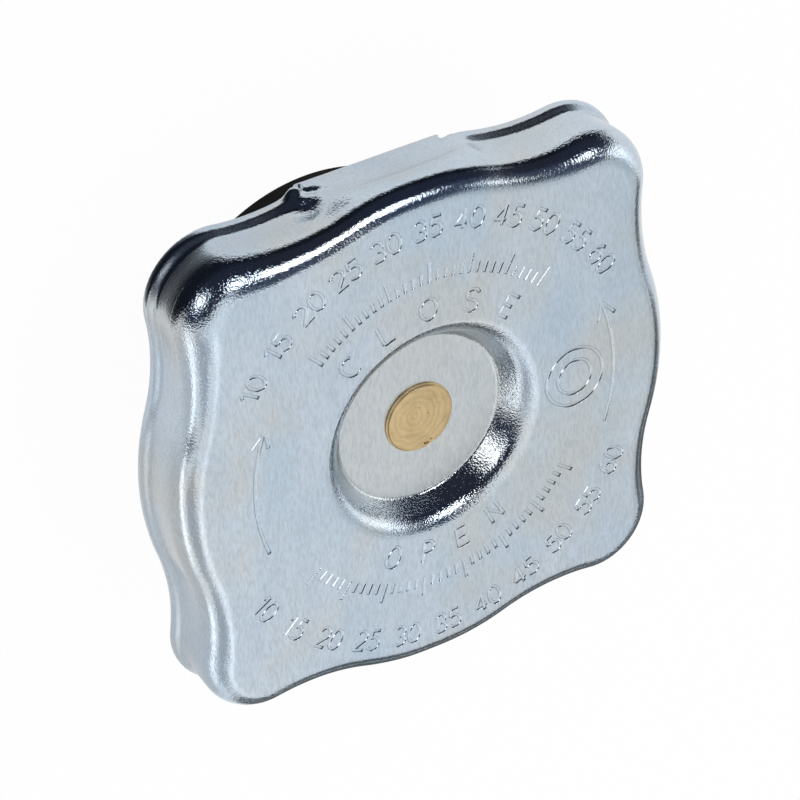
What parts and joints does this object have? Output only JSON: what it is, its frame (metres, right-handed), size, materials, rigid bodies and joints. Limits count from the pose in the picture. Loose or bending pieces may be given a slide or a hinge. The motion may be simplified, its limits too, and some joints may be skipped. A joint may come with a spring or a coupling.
{
  "type": "radiator cap",
  "caption": "Bayonet radiator cap: wavy zinc-plated steel cover with corner grips and locking tabs, brass rivet, neck gasket, and sprung pressure and vacuum valves.",
  "frame": {"origin": "centre of the plane where the neck gasket meets the filler neck's rim", "axes": "+Z along the cap's axis and out of its face, Y through the two locking tabs"},
  "size_m": [0.0668, 0.066, 0.028],
  "materials": {
    "zinc_cover": "bright zinc plating, faintly blue, mirror-like on the drawn edges",
    "rivet_brass": "dull, scratched",
    "plain_steel": "plain",
    "spring_steel": "bright drawn",
    "plated_steel": "zinc plated",
    "gasket_rubber": "matte",
    "seal_rubber": "matte, moulded",
    "valve_brass": "stamped, satin"
  },
  "bodies": {
    "cover": {"cover": "zinc_cover", "centre_rivet": "rivet_brass", "rivet_washer": "plain_steel"},
    "cage": {"spring_disc": "spring_steel", "neck_gasket": "gasket_rubber", "spring_cage": "plated_steel", "pressure_spring": "spring_steel"},
    "pressure_valve": {"valve_carrier": "plated_steel", "seal_plate": "plated_steel", "pressure_seal": "seal_rubber", "vacuum_spring": "spring_steel"},
    "vacuum_valve": {"vacuum_valve": "valve_brass", "spring_keeper": "plain_steel"}
  },
  "joints": [
    {"name": "cage_swivel", "type": "hinge", "parent": "cover", "child": "cage", "pos_m": [0, 0, 0.0015], "axis": [0, 0, 1], "continuous": true},
    {"name": "pressure_lift", "type": "slide", "parent": "cage", "child": "pressure_valve", "axis": [0, 0, 1], "range_m": [0, 0.0035], "stiffness_N_per_m": 8000, "deforming": ["pressure_spring"]},
    {"name": "vacuum_drop", "type": "slide", "parent": "pressure_valve", "child": "vacuum_valve", "axis": [0, 0, -1], "range_m": [0, 0.002], "stiffness_N_per_m": 150, "deforming": ["vacuum_spring"]}
  ]
}
